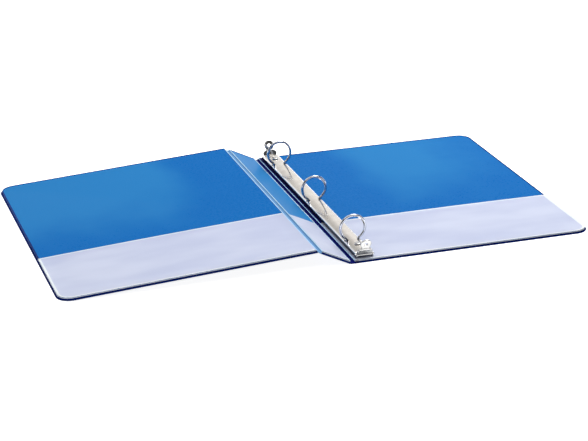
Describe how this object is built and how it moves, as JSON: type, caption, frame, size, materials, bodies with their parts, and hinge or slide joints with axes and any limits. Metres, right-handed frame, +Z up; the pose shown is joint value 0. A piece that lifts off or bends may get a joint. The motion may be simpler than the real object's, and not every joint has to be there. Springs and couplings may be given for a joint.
{
  "type": "ring binder",
  "caption": "Ring binder lying open: welded vinyl covers over boards, clear pocket strip, hinged spine, and a nickel ring mechanism with split rings and thumb levers.",
  "frame": {"origin": "on the outer face of the back cover, which lies on the table, under the middle ring of the ring mechanism", "axes": "+Z up, away from the table; +X from the mechanism towards the back cover's free edge; +Y along the spine towards the top of the pages"},
  "size_m": [0.4993, 0.2922, 0.0319],
  "materials": {
    "cover_vinyl": "satin",
    "hinge_vinyl": "satin",
    "board": "matte",
    "pocket_film": "frosted",
    "ring_wire": "polished",
    "nickel_plate": "bright",
    "nickel_hardware": "polished",
    "spring_steel": "satin"
  },
  "bodies": {
    "back_cover": {"back_board": "board", "back_inner_liner": "cover_vinyl", "back_outer_skin": "cover_vinyl", "back_pocket_film": "pocket_film", "base_hinge_web": "hinge_vinyl", "far_lever_pin": "nickel_hardware", "far_post": "nickel_hardware", "far_rivet": "nickel_hardware", "near_lever_pin": "nickel_hardware", "near_post": "nickel_hardware", "near_rivet": "nickel_hardware", "top_plate": "nickel_plate"},
    "spine": {"front_hinge_web": "hinge_vinyl", "spine_board": "board", "spine_inner_liner": "cover_vinyl", "spine_outer_skin": "cover_vinyl", "spine_pocket_film": "pocket_film"},
    "front_cover": {"front_board": "board", "front_inner_liner": "cover_vinyl", "front_outer_skin": "cover_vinyl", "front_pocket_film": "pocket_film"},
    "left_ring_bar": {"left_far_half_ring": "ring_wire", "left_middle_half_ring": "ring_wire", "left_near_half_ring": "ring_wire", "left_ring_carrier": "spring_steel"},
    "right_ring_bar": {"right_far_half_ring": "ring_wire", "right_middle_half_ring": "ring_wire", "right_near_half_ring": "ring_wire", "right_ring_carrier": "spring_steel"},
    "near_lever_arm": {"near_lever": "nickel_hardware"},
    "far_lever_arm": {"far_lever": "nickel_hardware"}
  },
  "joints": [
    {"name": "spine_fold", "type": "hinge", "parent": "back_cover", "child": "spine", "pos_m": [-0.0155, 0, 0.00035], "axis": [0, 1, 0], "range_deg": [0, 54]},
    {"name": "front_cover_fold", "type": "hinge", "parent": "spine", "child": "front_cover", "pos_m": [-0.04613, 0, 0.01529], "axis": [0, 1, 0], "range_deg": [0, 124]},
    {"name": "ring_opening", "type": "hinge", "parent": "back_cover", "child": "left_ring_bar", "pos_m": [-0.0069, 0, 0.0047], "axis": [0, -1, 0], "range_deg": [0, 10.5], "stiffness_Nm_per_rad": 0.3, "springref_deg": -2.86},
    {"name": "right_ring_opening", "type": "hinge", "parent": "back_cover", "child": "right_ring_bar", "pos_m": [0.0069, 0, 0.0047], "axis": [0, 1, 0], "range_deg": [0, 10.5]},
    {"name": "near_lever_tilt", "type": "hinge", "parent": "back_cover", "child": "near_lever_arm", "pos_m": [0, -0.1386, 0.0049], "axis": [1, 0, 0], "range_deg": [0, 27]},
    {"name": "far_lever_tilt", "type": "hinge", "parent": "back_cover", "child": "far_lever_arm", "pos_m": [0, 0.1386, 0.0049], "axis": [-1, 0, 0], "range_deg": [0, 27]}
  ],
  "couplings": [
    {"joint": "right_ring_opening", "follows": "ring_opening", "ratio": 1},
    {"joint": "near_lever_tilt", "follows": "ring_opening", "ratio": 2.57},
    {"joint": "far_lever_tilt", "follows": "ring_opening", "ratio": 2.57}
  ]
}
